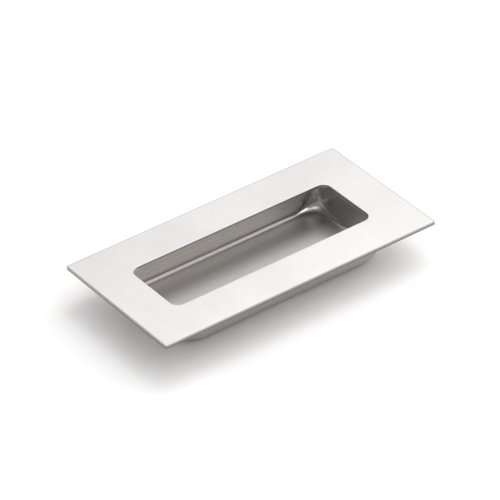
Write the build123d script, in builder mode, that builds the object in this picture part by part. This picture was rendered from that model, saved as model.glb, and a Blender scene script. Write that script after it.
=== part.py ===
from build123d import *
from math import cos, radians, sqrt
import os

# Recessed pull handle: a flat stainless face plate with a deep-drawn tray welded behind its window.

# ---------------------------------------------------------------------------
# Driving sizes, in millimetres.
# X runs along the handle, Y across it, and Z up out of the furniture's face.
# The tray's base stands on Z = 0, and X = Y = 0 is the middle of the plate.
# ---------------------------------------------------------------------------

# Face plate: flat sheet, blanked to size, with a punched window.
plate_length = 120.0
plate_width = 60.0
plate_thickness = 1.2
plate_corner_radius = 0.8
plate_edge_radius = 0.3  # brushed-over top edge round the outside

# Window: an even border of plate is left all round it.
border = 16.25
window_corner_radius = 3.5
window_edge_radius = 0.2  # deburred on both faces, where fingers hook behind the plate

# Recess tray: one sheet, drawn into a cup with a flat rim.
recess_depth = 13.8  # from the plate's face down to the tray's inside floor
side_undercut = 5.55  # the long walls stand this far back behind the window, for the fingertips
end_setback = 0.55  # the end walls stand almost flush with the window's ends
tray_sheet = 1.0
wall_corner_radius = 3.2  # inside, where a long wall turns into an end wall
floor_corner_radius = 13.0  # the flat floor's corners, in plan: each corner of the cup ends in a ball
ball_height = 8.5  # above the inside floor, where a wall corner starts to swell into its ball
floor_bend_radius = 2.2  # inside, between wall and floor
rim_bend_radius = 0.5  # under the rim, between the outside wall and the rim
rim_width = 4.0  # from the tray's outside wall to the rim's trimmed edge
least_floor_end = 1.0  # straight edge that stays between the two corners of the floor's end

# Each skin of the cup is ruled between this many levels, closest together at the floor,
# so that its facets stand no more than about a hundredth of a millimetre off the true arcs.
cup_levels = 16

# ---------------------------------------------------------------------------
# Sizes that follow.
# ---------------------------------------------------------------------------
total_height = recess_depth + tray_sheet
plate_back = total_height - plate_thickness  # the tray's rim lies flat against this level

window_length = plate_length - 2 * border
window_width = plate_width - 2 * border

inside_length = window_length + 2 * end_setback
inside_width = window_width + 2 * side_undercut
outside_length = inside_length + 2 * tray_sheet
outside_width = inside_width + 2 * tray_sheet
outside_corner = wall_corner_radius + tray_sheet

floor_width = inside_width - 2 * floor_bend_radius
floor_corner = min(floor_corner_radius, (floor_width - least_floor_end) / 2)
ball_growth = floor_corner - (wall_corner_radius - floor_bend_radius)

rim_length = outside_length + 2 * rim_width
rim_across = outside_width + 2 * rim_width
rim_corner = outside_corner + rim_width
rim_underside = plate_back - tray_sheet


def quarter_arc_inset(height, rise):
    """How far a quarter arc of unit width still stands in from its wall, at a height up its rise."""
    left = 1 - min(height / rise, 1)
    return 1 - sqrt(1 - left**2)


def cup_outline(height, skin):
    """Length, width and corner radius of the cup at a height above its floor; skin is 0 for the inside."""
    bend = floor_bend_radius + skin
    inset = bend * quarter_arc_inset(height, bend)
    growth = ball_growth * quarter_arc_inset(height, ball_height + skin)
    length = inside_length + 2 * (skin - inset)
    width = inside_width + 2 * (skin - inset)
    return length, width, wall_corner_radius + skin - inset + growth


# ---------------------------------------------------------------------------
# Face plate.
# ---------------------------------------------------------------------------
with BuildPart() as face_plate:
    with BuildSketch(Plane.XY.offset(plate_back)):
        RectangleRounded(plate_length, plate_width, plate_corner_radius)
        RectangleRounded(window_length, window_width, window_corner_radius, mode=Mode.SUBTRACT)
    extrude(amount=plate_thickness)

    # The outline and the window are two loops of edges on each face.
    face_loops = face_plate.faces().sort_by(Axis.Z)[-1].wires().sort_by(SortBy.LENGTH)
    back_loops = face_plate.faces().sort_by(Axis.Z)[0].wires().sort_by(SortBy.LENGTH)
    fillet(face_loops[-1].edges(), radius=plate_edge_radius)
    fillet(face_loops[0].edges() + back_loops[0].edges(), radius=window_edge_radius)

# ---------------------------------------------------------------------------
# Recess tray. Both skins of the cup follow one rule, a sheet's thickness apart:
# a plain bend along each wall's foot, and a ball corner where two walls meet the
# floor. The hollow is the shape of the drawing punch.
# ---------------------------------------------------------------------------
with BuildPart() as hollow:
    for level in range(cup_levels + 1):
        height = ball_height * (1 - cos(radians(90 * level / cup_levels)))
        with BuildSketch(Plane.XY.offset(tray_sheet + height)):
            RectangleRounded(*cup_outline(height, 0))
    loft(ruled=True)
    extrude(hollow.faces().sort_by(Axis.Z)[-1], amount=plate_back - tray_sheet - ball_height)

with BuildPart() as recess_tray:
    for level in range(cup_levels + 1):
        height = (ball_height + tray_sheet) * (1 - cos(radians(90 * level / cup_levels)))
        with BuildSketch(Plane.XY.offset(height)):
            RectangleRounded(*cup_outline(height, tray_sheet))
    loft(ruled=True)
    extrude(recess_tray.faces().sort_by(Axis.Z)[-1], amount=plate_back - tray_sheet - ball_height)

    with BuildSketch(Plane.XY.offset(rim_underside)):
        RectangleRounded(rim_length, rim_across, rim_corner)
    extrude(amount=tray_sheet)
    rim_back = recess_tray.faces().filter_by(Plane.XY).sort_by(Axis.Z)[1]
    fillet(rim_back.inner_wires().edges(), radius=rim_bend_radius)

    add(hollow.part, mode=Mode.SUBTRACT)
    rim_top = recess_tray.faces().sort_by(Axis.Z)[-1]
    fillet(rim_top.inner_wires().edges(), radius=rim_bend_radius + tray_sheet)

# ---------------------------------------------------------------------------
# One STEP file per piece.
# ---------------------------------------------------------------------------
os.makedirs("parts", exist_ok=True)

face_plate.part.label = "face_plate"
export_step(face_plate.part, "parts/face_plate.step")

recess_tray.part.label = "recess_tray"
export_step(recess_tray.part, "parts/recess_tray.step")
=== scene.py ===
"""Recessed pull handle: a satin stainless face plate over a deep-drawn stainless tray.

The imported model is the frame. The face plate is remade as a blanked sheet with its own finish on
face and cut edge, and the tray as one sheet whose skin follows the rule of its drawing punch. The
studio is a white sweep under soft light, most of it from behind and from the right. Everything is
in metres.
"""

import logging
import math
from collections.abc import Iterable
from dataclasses import dataclass, field
from enum import Enum, IntEnum
from typing import Any

import bmesh
import bpy
from mathutils import Matrix, Vector


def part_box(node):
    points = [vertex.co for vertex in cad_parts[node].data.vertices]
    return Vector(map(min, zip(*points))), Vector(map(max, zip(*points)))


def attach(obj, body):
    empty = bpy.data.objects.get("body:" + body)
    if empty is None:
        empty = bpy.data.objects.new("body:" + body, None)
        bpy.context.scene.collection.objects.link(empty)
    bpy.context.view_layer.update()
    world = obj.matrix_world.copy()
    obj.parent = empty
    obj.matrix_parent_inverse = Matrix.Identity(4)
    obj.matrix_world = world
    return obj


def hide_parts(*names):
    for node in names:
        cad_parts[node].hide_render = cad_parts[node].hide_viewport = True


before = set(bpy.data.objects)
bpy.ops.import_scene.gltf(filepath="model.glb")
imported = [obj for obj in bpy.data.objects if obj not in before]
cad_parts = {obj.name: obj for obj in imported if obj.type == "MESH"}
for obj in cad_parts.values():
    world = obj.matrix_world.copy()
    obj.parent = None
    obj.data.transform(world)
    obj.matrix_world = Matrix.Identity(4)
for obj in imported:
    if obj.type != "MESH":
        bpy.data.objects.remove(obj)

LOG = logging.getLogger("pull_handle")
MM = 0.001

# The places of the sockets on a Mix node that mixes colours, whose names are not unique.
MIX_FIRST, MIX_SECOND, MIX_RESULT = 6, 7, 2


class Node(Enum):
    """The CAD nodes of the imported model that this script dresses."""

    FACE_PLATE = "face_plate"
    RECESS_TRAY = "recess_tray"


class PlateFinish(IntEnum):
    """Material slots of the face plate's mesh."""

    FACE = 0
    CUT_EDGE = 1
    WINDOW_EDGE = 2


class TrayFinish(IntEnum):
    """Material slots of the tray's mesh."""

    DRAWN = 0
    TRIMMED_EDGE = 1


# ---------------------------------------------------------------------------
# Helpers
# ---------------------------------------------------------------------------


def linear(hex_code: str) -> tuple[float, float, float, float]:
    """Turns an sRGB colour into the linear colour that shaders take.

    Args:
        hex_code: six hexadecimal digits after a hash sign.

    Returns:
        Red, green, blue and an alpha of 1.
    """
    channels = (int(hex_code[i : i + 2], 16) / 255 for i in (1, 3, 5))
    red, green, blue = (c / 12.92 if c <= 0.04045 else ((c + 0.055) / 1.055) ** 2.4 for c in channels)
    return red, green, blue, 1.0


def add_node(
    tree: bpy.types.NodeTree,
    kind: str,
    settings: dict[str, Any] | None = None,
    inputs: dict[str | int, Any] | None = None,
) -> bpy.types.Node:
    """Adds a node to a tree, with its settings and its links.

    Args:
        tree: the shader or geometry tree that takes the node.
        kind: the node's type, such as "ShaderNodeMath".
        settings: properties of the node, by name.
        inputs: for each input, by name or place, a socket to link from or a plain value.

    Returns:
        The new node.
    """
    node = tree.nodes.new(kind)
    for name, value in (settings or {}).items():
        setattr(node, name, value)
    for key, value in (inputs or {}).items():
        if isinstance(value, bpy.types.NodeSocket):
            tree.links.new(value, node.inputs[key])
        else:
            node.inputs[key].default_value = value
    return node


def new_material(name: str) -> tuple[bpy.types.Material, bpy.types.NodeTree, bpy.types.Node]:
    """Starts a material.

    Args:
        name: the material's name.

    Returns:
        The material, its node tree and its shader.
    """
    made = bpy.data.materials.new(name)
    made.use_nodes = True
    return made, made.node_tree, made.node_tree.nodes["Principled BSDF"]


def link_object(name: str, data: bpy.types.ID) -> bpy.types.Object:
    """Makes an object of the data and puts it in the scene.

    Args:
        name: the object's name.
        data: a mesh, lamp or camera.

    Returns:
        The linked object.
    """
    made = bpy.data.objects.new(name, data)
    bpy.context.scene.collection.objects.link(made)
    return made


def plain_mesh(source: bpy.types.Object, name: str) -> bpy.types.Object:
    """Turns an object with live modifiers into a plain mesh object, and removes the source.

    Args:
        source: the object whose modifiers are to be made permanent.
        name: the finished piece's name.

    Returns:
        A new object, at the origin, with no modifiers.
    """
    evaluated = source.evaluated_get(bpy.context.evaluated_depsgraph_get())
    mesh = bpy.data.meshes.new_from_object(evaluated)
    mesh.name = name
    bpy.data.objects.remove(source)
    return link_object(name, mesh)


def direction(azimuth: float, elevation: float) -> Vector:
    """Gives the unit vector towards a place on the sky.

    Args:
        azimuth: degrees round from the front, which is -Y, towards +X.
        elevation: degrees above the floor.

    Returns:
        The unit vector, from the handle outwards.
    """
    around, above = math.radians(azimuth), math.radians(elevation)
    level = math.cos(above)
    return Vector((math.sin(around) * level, -math.cos(around) * level, math.sin(above)))


def rounded_loop(half_x: float, half_y: float, radius: float, steps: int) -> list[tuple[float, float]]:
    """Lists the points of a rounded rectangle, anticlockwise from its +X side.

    Args:
        half_x: half its length.
        half_y: half its width.
        radius: its corner radius.
        steps: how many parts each corner is divided into.

    Returns:
        The points of its four corner arcs, as pairs.
    """
    points = []
    for quarter in range(4):
        side_x = 1 if quarter in (0, 3) else -1
        side_y = 1 if quarter in (0, 1) else -1
        for step in range(steps + 1):
            angle = math.radians(90 * (quarter + step / steps))
            points.append(
                (
                    side_x * (half_x - radius) + radius * math.cos(angle),
                    side_y * (half_y - radius) + radius * math.sin(angle),
                )
            )
    return points


# ---------------------------------------------------------------------------
# Finishes
# ---------------------------------------------------------------------------


@dataclass(frozen=True)
class SatinStainless:
    """Stainless steel sheet, brushed along its length to a fine satin.

    The eye sees a pale, slightly warm metal with an even sheen and no mirror image. The brushing
    is a fine grain, much longer along the plate than across it, with lines that are a little
    brighter or duller than their neighbours, and the sheen drifts a little from place to place.
    """

    name: str = "satin_brushed_stainless"
    colour: str = "#E3E2E1"
    colour_dull: str = "#DDDCDB"
    roughness: float = 0.30
    roughness_drift: float = 0.03
    # A real satin grain is about 0.05 mm across; it is drawn eight times as coarse, to show.
    grain_width: float = 0.4 * MM
    grain_length: float = 6 * MM
    grain_depth: float = 0.003 * MM
    grain_range: tuple[float, float] = (0.35, 0.65)
    drift_width: float = 25 * MM
    drift_range: tuple[float, float] = (0.3, 0.7)

    def material(self) -> bpy.types.Material:
        """Builds the material.

        Returns:
            The material.
        """
        made, tree, shader = new_material(self.name)
        shader.inputs["Metallic"].default_value = 1.0
        place = add_node(tree, "ShaderNodeTexCoord").outputs["Object"]
        stretched = add_node(
            tree,
            "ShaderNodeMapping",
            inputs={"Vector": place, "Scale": (self.grain_width / self.grain_length, 1, 1)},
        )
        grain = add_node(
            tree,
            "ShaderNodeTexNoise",
            inputs={"Vector": stretched.outputs[0], "Scale": 1 / self.grain_width, "Detail": 2.0},
        )
        bump = add_node(
            tree,
            "ShaderNodeBump",
            inputs={"Height": grain.outputs["Fac"], "Distance": self.grain_depth, "Strength": 1.0},
        )
        spread = add_node(
            tree,
            "ShaderNodeMapRange",
            inputs={
                "Value": grain.outputs["Fac"],
                "From Min": self.grain_range[0],
                "From Max": self.grain_range[1],
            },
        )
        tone = add_node(
            tree,
            "ShaderNodeMix",
            settings={"data_type": "RGBA"},
            inputs={
                "Factor": spread.outputs["Result"],
                MIX_FIRST: linear(self.colour_dull),
                MIX_SECOND: linear(self.colour),
            },
        )
        drift = add_node(
            tree,
            "ShaderNodeTexNoise",
            inputs={"Vector": place, "Scale": 1 / self.drift_width, "Detail": 1.0},
        )
        rough = add_node(
            tree,
            "ShaderNodeMapRange",
            inputs={
                "Value": drift.outputs["Fac"],
                "From Min": self.drift_range[0],
                "From Max": self.drift_range[1],
                "To Min": self.roughness - self.roughness_drift,
                "To Max": self.roughness + self.roughness_drift,
            },
        )
        tree.links.new(tone.outputs[MIX_RESULT], shader.inputs["Base Color"])
        tree.links.new(rough.outputs["Result"], shader.inputs["Roughness"])
        tree.links.new(bump.outputs["Normal"], shader.inputs["Normal"])
        return made


@dataclass(frozen=True)
class ShearedStainless:
    """The cut edge that a press leaves on stainless sheet.

    The eye sees a line in two tones: a smooth, paler band at the top, where the punch burnished
    the metal, and a duller one below it, where the sheet tore away. The colour is also painted
    darker towards the bottom, as painted shade at the edge's foot. Fine upright streaks run
    through both. Where the edge is deburred, the lower lip is painted brighter instead, as a
    painted highlight for the light it catches from the tray's floor.
    """

    name: str = "sheared_edge_painted_shade"
    # The bottom colour is darker partly for the dull torn zone and partly as painted shade at the
    # edge's foot.
    colour_top: str = "#AEACA9"
    colour_bottom: str = "#6F6D6A"
    roughness: float = 0.35
    streak_share: float = 0.3
    # Torn streaks are about 0.1 mm wide; they are drawn at 0.4 mm, to show.
    streak_width: float = 0.4 * MM
    streak_height: float = 4 * MM

    def material(self, low: float, high: float) -> bpy.types.Material:
        """Builds the material.

        Args:
            low: the height of the edge's bottom.
            high: the height of its top.

        Returns:
            The material.
        """
        made, tree, shader = new_material(self.name)
        shader.inputs["Metallic"].default_value = 1.0
        shader.inputs["Roughness"].default_value = self.roughness
        place = add_node(tree, "ShaderNodeTexCoord").outputs["Object"]
        height = add_node(tree, "ShaderNodeSeparateXYZ", inputs={"Vector": place}).outputs["Z"]
        # Height mixes the top colour into the bottom one: painted shade at a cut edge's foot, a painted
        # highlight on a deburred lip.
        band = add_node(
            tree,
            "ShaderNodeMapRange",
            inputs={
                "Value": height,
                "From Min": low,
                "From Max": high,
                "To Min": 1.0,
                "To Max": -self.streak_share,
            },
        )
        upright = add_node(
            tree,
            "ShaderNodeMapping",
            inputs={"Vector": place, "Scale": (1, 1, self.streak_width / self.streak_height)},
        )
        streaks = add_node(
            tree,
            "ShaderNodeTexNoise",
            inputs={"Vector": upright.outputs[0], "Scale": 1 / self.streak_width, "Detail": 2.0},
        )
        bottom_tone_share = add_node(
            tree,
            "ShaderNodeMath",
            settings={"operation": "MULTIPLY_ADD", "use_clamp": True},
            inputs={0: streaks.outputs["Fac"], 1: self.streak_share, 2: band.outputs["Result"]},
        )
        tone = add_node(
            tree,
            "ShaderNodeMix",
            settings={"data_type": "RGBA"},
            inputs={
                "Factor": bottom_tone_share.outputs[0],
                MIX_FIRST: linear(self.colour_top),
                MIX_SECOND: linear(self.colour_bottom),
            },
        )
        tree.links.new(tone.outputs[MIX_RESULT], shader.inputs["Base Color"])
        return made


@dataclass(frozen=True)
class DrawnStainless:
    """Stainless sheet as it comes from a deep draw, with the drawing compound washed off.

    The eye sees a grey metal, duller and darker than the brushed plate. The flat floor, which the
    punch only pressed, keeps the sheet's matt mill finish with mottles about a millimetre across
    and faint streaks along the length. The bend round the floor, which the punch's nose ironed,
    is the smoothest and carries the brightest lights, and the walls are between the two.
    """

    name: str = "deep_drawn_stainless"
    colour: str = "#D2CFCC"
    colour_dull: str = "#C8C5C2"
    floor_roughness: float = 0.38
    bend_roughness: float = 0.20
    wall_roughness: float = 0.30
    roughness_drift: float = 0.03
    bend_start: float = 0.05 * MM
    bend_full: float = 0.5 * MM
    wall_start: float = 3 * MM
    wall_full: float = 7 * MM
    mottle_width: float = 0.9 * MM
    mottle_range: tuple[float, float] = (0.12, 0.42)
    peel_depth: float = 0.0024 * MM
    streak_width: float = 1.2 * MM
    streak_length: float = 30 * MM

    def material(self, floor_level: float) -> bpy.types.Material:
        """Builds the material.

        Args:
            floor_level: the height of the inside floor, above which the skin is smoother.

        Returns:
            The material.
        """
        made, tree, shader = new_material(self.name)
        shader.inputs["Metallic"].default_value = 1.0
        place = add_node(tree, "ShaderNodeTexCoord").outputs["Object"]
        mottle = add_node(
            tree,
            "ShaderNodeTexNoise",
            inputs={"Vector": place, "Scale": 1 / self.mottle_width, "Detail": 3.0},
        )
        along = add_node(
            tree,
            "ShaderNodeMapping",
            inputs={"Vector": place, "Scale": (self.streak_width / self.streak_length, 1, 1)},
        )
        streaks = add_node(
            tree,
            "ShaderNodeTexNoise",
            inputs={"Vector": along.outputs[0], "Scale": 1 / self.streak_width, "Detail": 1.0},
        )
        blend = add_node(
            tree,
            "ShaderNodeMath",
            settings={"operation": "MULTIPLY"},
            inputs={0: mottle.outputs["Fac"], 1: streaks.outputs["Fac"]},
        )
        spread = add_node(
            tree,
            "ShaderNodeMapRange",
            inputs={
                "Value": blend.outputs["Value"],
                "From Min": self.mottle_range[0],
                "From Max": self.mottle_range[1],
            },
        )
        tone = add_node(
            tree,
            "ShaderNodeMix",
            settings={"data_type": "RGBA"},
            inputs={
                "Factor": spread.outputs["Result"],
                MIX_FIRST: linear(self.colour_dull),
                MIX_SECOND: linear(self.colour),
            },
        )
        height = add_node(tree, "ShaderNodeSeparateXYZ", inputs={"Vector": place}).outputs["Z"]
        bend = add_node(
            tree,
            "ShaderNodeMapRange",
            inputs={
                "Value": height,
                "From Min": floor_level + self.bend_start,
                "From Max": floor_level + self.bend_full,
                "To Min": self.floor_roughness,
                "To Max": self.bend_roughness,
            },
        )
        burnish = add_node(
            tree,
            "ShaderNodeMapRange",
            inputs={
                "Value": height,
                "From Min": floor_level + self.wall_start,
                "From Max": floor_level + self.wall_full,
                "To Min": bend.outputs["Result"],
                "To Max": self.wall_roughness,
            },
        )
        drift = add_node(
            tree,
            "ShaderNodeMapRange",
            inputs={
                "Value": spread.outputs["Result"],
                "To Min": self.roughness_drift,
                "To Max": -self.roughness_drift,
            },
        )
        rough = add_node(
            tree,
            "ShaderNodeMath",
            settings={"operation": "ADD"},
            inputs={0: burnish.outputs["Result"], 1: drift.outputs["Result"]},
        )
        peel = add_node(
            tree,
            "ShaderNodeBump",
            inputs={"Height": mottle.outputs["Fac"], "Distance": self.peel_depth, "Strength": 1.0},
        )
        tree.links.new(tone.outputs[MIX_RESULT], shader.inputs["Base Color"])
        tree.links.new(rough.outputs["Value"], shader.inputs["Roughness"])
        tree.links.new(peel.outputs["Normal"], shader.inputs["Normal"])
        return made


@dataclass(frozen=True)
class SweepPaper:
    """Matt white background paper, uncoated.

    The eye sees no sheen and no texture on it, only the handle's shadow.
    """

    name: str = "matt_white_paper"
    colour: str = "#FBFAFA"
    roughness: float = 1.0
    specular: float = 0.0

    def material(self) -> bpy.types.Material:
        """Builds the material.

        Returns:
            The material.
        """
        made, _, shader = new_material(self.name)
        shader.inputs["Base Color"].default_value = linear(self.colour)
        shader.inputs["Roughness"].default_value = self.roughness
        shader.inputs["Specular IOR Level"].default_value = self.specular
        return made


# ---------------------------------------------------------------------------
# Face plate
# ---------------------------------------------------------------------------


@dataclass
class FacePlate:
    """The flat plate: blanked sheet with a window, brushed on its faces and sheared at its edges."""

    border: float = 16.25 * MM
    corner_radius: float = 0.8 * MM
    edge_radius: float = 0.3 * MM
    window_corner_radius: float = 3.5 * MM
    window_edge_radius: float = 0.25 * MM
    corner_steps: int = 12
    edge_steps: int = 8
    flat_margin: float = 0.15 * MM
    sharp_angle: float = 35.0
    face: SatinStainless = SatinStainless()
    cut: ShearedStainless = ShearedStainless()
    # The window edge's lower lip gets the paler colour, a painted highlight for the light it catches
    # from the tray's floor.
    deburred_painted_lip: ShearedStainless = ShearedStainless(
        name="window_edge_painted_lip_highlight", colour_top="#ABA9A6", colour_bottom="#CECCC9", roughness=0.3
    )
    back: float = field(init=False)
    top: float = field(init=False)
    half_x: float = field(init=False)
    half_y: float = field(init=False)
    window_x: float = field(init=False)
    window_y: float = field(init=False)

    def __post_init__(self) -> None:
        """Takes the plate's outside sizes from its CAD node."""
        low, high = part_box(Node.FACE_PLATE.value)
        self.back, self.top = low[2], high[2]
        self.half_x = (high[0] - low[0]) / 2
        self.half_y = (high[1] - low[1]) / 2
        self.window_x = self.half_x - self.border
        self.window_y = self.half_y - self.border

    def outline(self, inset: float) -> list[tuple[float, float]]:
        """Lists the points of the plate's outline, drawn in by an inset."""
        radius = self.corner_radius - inset
        return rounded_loop(self.half_x - inset, self.half_y - inset, radius, self.corner_steps)

    def window(self, growth: float) -> list[tuple[float, float]]:
        """Lists the points of the window, let out by a growth."""
        radius = self.window_corner_radius + growth
        return rounded_loop(self.window_x + growth, self.window_y + growth, radius, self.corner_steps)

    def section(self) -> list[tuple[list[tuple[float, float]], float, PlateFinish]]:
        """Walks round the plate's cross-section, from its back edge over the top to its back.

        Returns:
            For each ring of the mesh, its points, its height, and the finish of the band that
            leads from it to the next ring.
        """
        cut, face, deburred_painted_lip = PlateFinish.CUT_EDGE, PlateFinish.FACE, PlateFinish.WINDOW_EDGE
        edge, lip = self.edge_radius, self.window_edge_radius
        turns = [math.radians(90 * step / self.edge_steps) for step in range(self.edge_steps + 1)]
        rings = [
            (self.outline(0), self.back, cut),
            (self.outline(0), self.top - edge - self.flat_margin, cut),
        ]
        rings += [
            (self.outline(edge * (1 - math.cos(turn))), self.top - edge * (1 - math.sin(turn)), cut)
            for turn in turns
        ]
        rings += [
            (self.outline(edge + self.flat_margin), self.top, face),
            (self.window(lip + self.flat_margin), self.top, face),
        ]
        rings += [
            (self.window(lip * (1 - math.sin(turn))), self.top - lip * (1 - math.cos(turn)), deburred_painted_lip)
            for turn in turns
        ]
        rings += [
            (self.window(lip * (1 - math.cos(turn))), self.back + lip * (1 - math.sin(turn)), deburred_painted_lip)
            for turn in turns
        ]
        rings += [
            (self.window(lip + self.flat_margin), self.back, face),
            (self.outline(self.flat_margin), self.back, face),
        ]
        return rings

    def mesh(self) -> bpy.types.Mesh:
        """Builds the plate's closed mesh from the rings of its section.

        Returns:
            The mesh, with a material slot for each of the plate's finishes.
        """
        rings = self.section()
        around = len(rings[0][0])
        made = bpy.data.meshes.new(Node.FACE_PLATE.value + "_sheet")
        shape = bmesh.new()
        points = [[shape.verts.new((x, y, height)) for x, y in loop] for loop, height, _ in rings]
        for row, (_, _, finish) in enumerate(rings):
            near, far = points[row], points[(row + 1) % len(rings)]
            for i in range(around):
                after = (i + 1) % around
                quad = shape.faces.new((near[i], near[after], far[after], far[i]))
                quad.material_index = finish
                quad.smooth = True
        bmesh.ops.recalc_face_normals(shape, faces=shape.faces)
        shape.to_mesh(made)
        shape.free()
        made.set_sharp_from_angle(angle=math.radians(self.sharp_angle))
        return made

    def build(self) -> bpy.types.Object:
        """Builds the dressed plate, in place of its CAD node.

        Returns:
            The finished piece.
        """
        piece = link_object("brushed_face_plate", self.mesh())
        piece.data.materials.append(self.face.material())
        piece.data.materials.append(self.cut.material(self.back, self.top))
        piece.data.materials.append(self.deburred_painted_lip.material(self.back, self.top))
        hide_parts(Node.FACE_PLATE.value)
        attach(piece, "root")
        return piece


# ---------------------------------------------------------------------------
# Recess tray
# ---------------------------------------------------------------------------


@dataclass
class RecessTray:
    """The drawn tray: one sheet pressed into a cup with a flat rim.

    The inside skin is one rule. A profile runs from the middle of the floor up the bend and the
    wall and out over the rim, and each of its points is carried round a rounded rectangle whose
    corner radius swells towards the floor into a ball corner. The sheet is then given its
    thickness outwards.
    """

    sheet: float = 1.0 * MM
    rim_width: float = 4.0 * MM
    wall_corner: float = 3.2 * MM
    floor_corner: float = 13.0 * MM
    ball_height: float = 8.5 * MM
    floor_bend: float = 2.2 * MM
    rim_bend: float = 1.5 * MM
    row_spacing: float = 0.25 * MM
    corner_steps: int = 20
    bend_steps: int = 10
    weld_distance: float = 0.001 * MM
    sharp_angle: float = 50.0
    drawn: DrawnStainless = DrawnStainless()
    trimmed: ShearedStainless = ShearedStainless(name="trimmed_edge_painted_shade")
    base: float = field(init=False)
    rim_top: float = field(init=False)
    half_x: float = field(init=False)
    half_y: float = field(init=False)

    def __post_init__(self) -> None:
        """Takes the tray's outside sizes from its CAD node."""
        low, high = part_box(Node.RECESS_TRAY.value)
        self.base, self.rim_top = low[2], high[2]
        reach = self.rim_width + self.sheet
        self.half_x = (high[0] - low[0]) / 2 - reach
        self.half_y = (high[1] - low[1]) / 2 - reach

    def rule(self, finish: bpy.types.Material) -> bpy.types.NodeTree:
        """Builds the geometry nodes that draw the tray's inside skin.

        Args:
            finish: the material that the skin gets.

        Returns:
            The node tree, with its sizes as named inputs.
        """
        tree = bpy.data.node_groups.new("drawn_tray_rule", "GeometryNodeTree")
        tree.interface.new_socket("Skin", in_out="OUTPUT", socket_type="NodeSocketGeometry")
        for label in self.sizes():
            tree.interface.new_socket(label, in_out="INPUT", socket_type="NodeSocketFloat")
        size = {item.name: item for item in add_node(tree, "NodeGroupInput").outputs if item.name}
        profile = self.profile(tree, size)

        # One row of the grid for each point of the profile, and one column for each point round
        # it. The last column lies on the first, and closes the ring.
        rows = add_node(
            tree,
            "GeometryNodeAttributeDomainSize",
            settings={"component": "CURVE"},
            inputs={"Geometry": profile},
        )
        grid = add_node(
            tree,
            "GeometryNodeMeshGrid",
            inputs={"Vertices X": rows.outputs["Point Count"], "Vertices Y": self.columns() + 1},
        )
        placed = add_node(
            tree,
            "GeometryNodeSetPosition",
            inputs={
                "Geometry": grid.outputs["Mesh"],
                "Position": self.position(tree, size, profile),
            },
        )

        # The grid's seam, and the floor's middle line, are closed.
        welded = add_node(
            tree,
            "GeometryNodeMergeByDistance",
            inputs={"Geometry": placed.outputs[0], "Distance": self.weld_distance},
        )
        shaded = add_node(tree, "GeometryNodeSetShadeSmooth", inputs={"Geometry": welded.outputs[0]})
        real = add_node(tree, "GeometryNodeRealizeInstances", inputs={"Geometry": shaded.outputs[0]})
        dressed = add_node(
            tree,
            "GeometryNodeSetMaterial",
            inputs={"Geometry": real.outputs[0], "Material": finish},
        )
        add_node(tree, "NodeGroupOutput", inputs={"Skin": dressed.outputs[0]})
        return tree

    def profile(
        self, tree: bpy.types.NodeTree, size: dict[str, bpy.types.NodeSocket]
    ) -> bpy.types.NodeSocket:
        """Draws the tray's profile, from the middle of its floor to the edge of its rim.

        Args:
            tree: the rule's node tree.
            size: its named inputs.

        Returns:
            The curve, with the way out from the wall along X and the height along Y.
        """
        middle = add_node(
            tree,
            "ShaderNodeMath",
            settings={"operation": "MULTIPLY"},
            inputs={0: size["Half Width"], 1: -1.0},
        )
        corners = (
            (middle.outputs[0], size["Floor Level"]),
            (0.0, size["Floor Level"]),
            (0.0, size["Rim Level"]),
            (size["Rim Reach"], size["Rim Level"]),
        )
        points = {
            f"Point {number}": add_node(
                tree, "ShaderNodeCombineXYZ", inputs={"X": across, "Y": height}
            ).outputs[0]
            for number, (across, height) in enumerate(corners, start=1)
        }
        closed = add_node(
            tree,
            "GeometryNodeCurvePrimitiveQuadrilateral",
            settings={"mode": "POINTS"},
            inputs=points,
        )
        path = add_node(tree, "GeometryNodeSetSplineCyclic", inputs={"Geometry": closed.outputs[0]})

        # Counted from 0, corner 1 is the floor's bend and corner 2 the rim's.
        between_bends = 1.5
        at_rim = add_node(
            tree,
            "ShaderNodeMath",
            settings={"operation": "GREATER_THAN"},
            inputs={0: add_node(tree, "GeometryNodeInputIndex").outputs[0], 1: between_bends},
        )
        bend = add_node(
            tree,
            "GeometryNodeSwitch",
            settings={"input_type": "FLOAT"},
            inputs={
                "Switch": at_rim.outputs[0],
                "False": size["Floor Bend"],
                "True": size["Rim Bend"],
            },
        )
        bent = add_node(
            tree,
            "GeometryNodeFilletCurve",
            settings={"mode": "POLY"},
            inputs={
                "Curve": path.outputs[0],
                "Count": self.bend_steps,
                "Radius": bend.outputs[0],
            },
        )
        return add_node(
            tree,
            "GeometryNodeResampleCurve",
            settings={"mode": "LENGTH"},
            inputs={"Curve": bent.outputs[0], "Length": size["Row Spacing"]},
        ).outputs[0]

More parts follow.
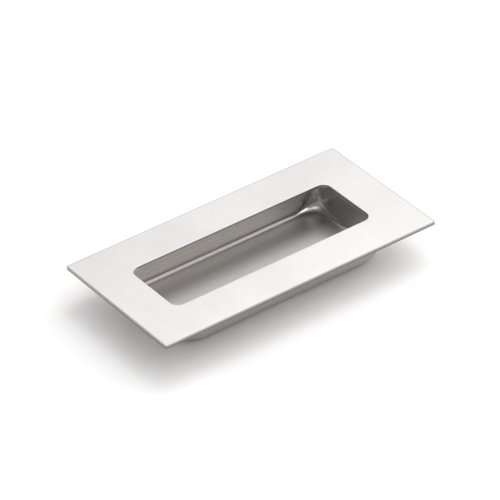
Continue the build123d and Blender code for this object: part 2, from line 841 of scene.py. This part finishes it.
    def position(
        self,
        tree: bpy.types.NodeTree,
        size: dict[str, bpy.types.NodeSocket],
        profile: bpy.types.NodeSocket,
    ) -> bpy.types.NodeSocket:
        """Works out where each point of the grid goes, by named steps of one Math node each.

        Args:
            tree: the rule's node tree.
            size: its named inputs.
            profile: the tray's profile.

        Returns:
            The place of the point.
        """
        quarter_columns = self.corner_steps + 1
        row_length = self.columns() + 1.0
        known: dict[Any, bpy.types.NodeSocket] = dict(size)
        known["index"] = add_node(tree, "GeometryNodeInputIndex").outputs[0]
        for name, operation, first, second in (
            # Half is added before each division, so that its floor is safe from rounding.
            ("index middle", "ADD", "index", 0.5),
            ("index share", "DIVIDE", "index middle", row_length),
            ("row", "FLOOR", "index share", 0.0),
            ("row start", "MULTIPLY", "row", row_length),
            ("place in row", "SUBTRACT", "index", "row start"),
            ("column", "MODULO", "place in row", self.columns()),
        ):
            terms = {0: known.get(first, first), 1: known.get(second, second)}
            known[name] = add_node(tree, "ShaderNodeMath", {"operation": operation}, terms).outputs[0]
        here = add_node(
            tree,
            "GeometryNodeSampleIndex",
            settings={"data_type": "FLOAT_VECTOR"},
            inputs={
                "Geometry": profile,
                "Value": add_node(tree, "GeometryNodeInputPosition").outputs[0],
                "Index": known["row"],
            },
        )
        apart = add_node(tree, "ShaderNodeSeparateXYZ", inputs={"Vector": here.outputs["Value"]})
        known |= {"outward": apart.outputs["X"], "height": apart.outputs["Y"]}
        for name, operation, first, second in (
            # The corner radius swells, along a quarter arc, from the ball's top down to the floor.
            ("above floor", "SUBTRACT", "height", "Floor Level"),
            ("share of ball", "DIVIDE", "above floor", "Ball Height"),
            ("share below top", "SUBTRACT", 1.0, "share of ball"),
            ("left", "MAXIMUM", "share below top", 0.0),
            ("left squared", "MULTIPLY", "left", "left"),
            ("arc squared", "SUBTRACT", 1.0, "left squared"),
            ("arc", "SQRT", "arc squared", 0.0),
            ("short of arc", "SUBTRACT", 1.0, "arc"),
            ("swell", "MULTIPLY", "Ball Growth", "short of arc"),
            ("plain radius", "ADD", "Wall Corner", "outward"),
            ("swollen radius", "ADD", "plain radius", "swell"),
            ("radius", "MAXIMUM", "swollen radius", 0.0),
            # Each column stands on the arc of its own quarter.
            ("column middle", "ADD", "column", 0.5),
            ("column share", "DIVIDE", "column middle", quarter_columns),
            ("quarter", "FLOOR", "column share", 0.0),
            ("quarter start", "MULTIPLY", "quarter", quarter_columns),
            ("step", "SUBTRACT", "column", "quarter start"),
            ("share of turn", "DIVIDE", "step", self.corner_steps),
            ("turned", "ADD", "quarter", "share of turn"),
            ("angle", "MULTIPLY", "turned", math.pi / 2),
            ("quarter middle", "ADD", "quarter", 0.5),
            ("facing", "MULTIPLY", "quarter middle", math.pi / 2),
            *(
                step
                for axis, wave, half in (("X", "COSINE", "Half Length"), ("Y", "SINE", "Half Width"))
                for step in (
                    (axis + " lean", wave, "facing", 0.0),
                    (axis + " side", "SIGN", axis + " lean", 0.0),
                    (axis + " reach", "ADD", half, "outward"),
                    (axis + " arm", "SUBTRACT", axis + " reach", "radius"),
                    (axis + " centre", "MULTIPLY", axis + " side", axis + " arm"),
                    (axis + " wave", wave, "angle", 0.0),
                    (axis + " arc", "MULTIPLY", "radius", axis + " wave"),
                    (axis, "ADD", axis + " centre", axis + " arc"),
                )
            ),
        ):
            terms = {0: known.get(first, first), 1: known.get(second, second)}
            known[name] = add_node(tree, "ShaderNodeMath", {"operation": operation}, terms).outputs[0]
        return add_node(
            tree,
            "ShaderNodeCombineXYZ",
            inputs={"X": known["X"], "Y": known["Y"], "Z": known["height"]},
        ).outputs[0]

    def columns(self) -> int:
        """Counts the points round the tray."""
        return 4 * (self.corner_steps + 1)

    def sizes(self) -> dict[str, float]:
        """Gives the rule's named inputs and their values.

        Returns:
            For each input's name, its size in metres.
        """
        return {
            "Half Length": self.half_x,
            "Half Width": self.half_y,
            "Floor Level": self.base + self.sheet,
            "Rim Level": self.rim_top,
            "Rim Reach": self.sheet + self.rim_width,
            "Floor Bend": self.floor_bend,
            "Rim Bend": self.rim_bend,
            "Wall Corner": self.wall_corner,
            "Ball Growth": self.floor_corner - self.wall_corner + self.floor_bend,
            "Ball Height": self.ball_height,
            "Row Spacing": self.row_spacing,
        }

    def build(self) -> bpy.types.Object:
        """Builds the dressed tray, in place of its CAD node.

        Returns:
            The finished piece.
        """
        drawn = self.drawn.material(self.base + self.sheet)
        trimmed = self.trimmed.material(self.rim_top - self.sheet, self.rim_top)
        blank = link_object("tray_blank", bpy.data.meshes.new("tray_blank"))
        blank.data.materials.append(drawn)
        blank.data.materials.append(trimmed)
        rule = blank.modifiers.new("Rule", "NODES")
        rule.node_group = self.rule(drawn)
        sockets = {item.name: item.identifier for item in rule.node_group.interface.items_tree}
        for label, value in self.sizes().items():
            rule[sockets[label]] = value
        skin = plain_mesh(blank, "tray_skin")
        skin.data.materials.append(trimmed)
        self.face_upwards(skin.data)

        thickness = skin.modifiers.new("Sheet", "SOLIDIFY")
        thickness.thickness = self.sheet
        thickness.offset = -1.0
        thickness.use_even_offset = True
        thickness.material_offset = TrayFinish.DRAWN
        thickness.material_offset_rim = TrayFinish.TRIMMED_EDGE
        piece = plain_mesh(skin, "drawn_tray")
        piece.data.set_sharp_from_angle(angle=math.radians(self.sharp_angle))
        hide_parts(Node.RECESS_TRAY.value)
        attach(piece, "root")
        return piece

    @staticmethod
    def face_upwards(mesh: bpy.types.Mesh) -> None:
        """Turns the skin so that its floor and rim face up, and the sheet's thickness goes outwards."""
        if sum(face.normal.z * face.area for face in mesh.polygons) < 0:
            mesh.flip_normals()


# ---------------------------------------------------------------------------
# Studio
# ---------------------------------------------------------------------------


@dataclass(frozen=True)
class Softbox:
    """A square soft lamp, aimed at the middle of the handle."""

    name: str
    azimuth: float
    elevation: float
    size: float
    power: float
    distance: float = 1.5

    def place(self) -> None:
        """Puts the lamp in the scene."""
        lamp = bpy.data.lights.new(self.name, "AREA")
        lamp.shape = "SQUARE"
        lamp.size = self.size
        lamp.energy = self.power
        body = link_object(self.name, lamp)
        body.location = self.distance * direction(self.azimuth, self.elevation)
        body.rotation_euler = body.location.to_track_quat("Z", "Y").to_euler()


@dataclass
class Studio:
    """A white paper sweep, an even sky and soft lamps.

    The wide lamps stand behind the handle, above it and on its right, and make its even sheen. The
    small ones pick out the bends of the tray.
    """

    paper: SweepPaper = SweepPaper()
    floor_size: float = 6.0
    # The paper lies a hair lower than the tray's base, so that no two faces share a plane.
    floor_drop: float = 0.01 * MM
    sky_colour: str = "#FFFFFF"
    sky_strength: float = 0.35
    lamps: tuple[Softbox, ...] = (
        Softbox("right_bank", azimuth=90, elevation=26, size=1.5, power=10.2),
        Softbox("right_high", azimuth=60, elevation=45, size=1.5, power=3.0),
        Softbox("back_right_bank", azimuth=150, elevation=45, size=1.5, power=4.0),
        Softbox("back_right_key", azimuth=120, elevation=60, size=0.8, power=4.7),
        Softbox("overhead", azimuth=0, elevation=89, size=1.5, power=6.4),
        Softbox("front_spot", azimuth=10, elevation=50, size=0.6, power=1.7),
        Softbox("back_left_spot", azimuth=222, elevation=32, size=0.6, power=2.6),
        Softbox("left_spot", azimuth=304, elevation=53, size=0.6, power=0.8),
    )

    def build(self) -> None:
        """Lays the floor, fills the sky and places the lamps."""
        half, low = self.floor_size / 2, -self.floor_drop
        mesh = bpy.data.meshes.new("paper_sweep")
        corners = [(-half, -half, low), (half, -half, low), (half, half, low), (-half, half, low)]
        mesh.from_pydata(corners, [], [(0, 1, 2, 3)])
        mesh.materials.append(self.paper.material())
        link_object("paper_sweep", mesh)
        self.fill_sky()
        for lamp in self.lamps:
            lamp.place()

    def fill_sky(self) -> None:
        """Gives the scene an even white sky."""
        world = bpy.data.worlds.new("even_sky")
        bpy.context.scene.world = world
        world.use_nodes = True
        sky = world.node_tree.nodes["Background"]
        sky.inputs["Color"].default_value = linear(self.sky_colour)
        sky.inputs["Strength"].default_value = self.sky_strength


@dataclass
class Camera:
    """A long lens, high on the handle's front left."""

    azimuth: float = -36.656
    elevation: float = 35.866
    roll: float = -0.95
    distance: float = 1.4257
    lens: float = 288.0
    sensor: float = 36.0
    aside: float = 0.692 * MM
    lowered: float = 2.302 * MM
    clip: tuple[float, float] = (0.05, 20.0)

    def place(self, top: float) -> None:
        """Aims the camera at the middle of the plate's face and makes it the scene's camera.

        Args:
            top: the height of the plate's face.
        """
        back = direction(self.azimuth, self.elevation)
        level = Vector((0, 0, 1)).cross(back).normalized()
        tilt = Matrix.Rotation(math.radians(self.roll), 3, back)
        right, up = tilt @ level, tilt @ back.cross(level)
        seat = Vector((0, 0, top)) + back * self.distance - right * self.aside - up * self.lowered
        data = bpy.data.cameras.new("product_camera")
        data.sensor_width = self.sensor
        data.lens = self.lens
        data.clip_start, data.clip_end = self.clip
        body = link_object("product_camera", data)
        body.matrix_world = Matrix.LocRotScale(seat, Matrix((right, up, back)).transposed(), None)
        bpy.context.scene.camera = body


# ---------------------------------------------------------------------------
# Making
# ---------------------------------------------------------------------------


def main() -> None:
    """Builds the handle and its studio, and logs each piece's face count."""
    logging.basicConfig(level=logging.INFO, format="%(name)s: %(message)s")
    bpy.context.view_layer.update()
    plate, tray = FacePlate(), RecessTray()
    for piece in (plate.build(), tray.build()):
        LOG.info("%s: %d faces", piece.name, len(piece.data.polygons))
    Studio().build()
    Camera().place(plate.top)
    bpy.context.scene.view_settings.view_transform = "Standard"


if __name__ == "__main__":
    main()
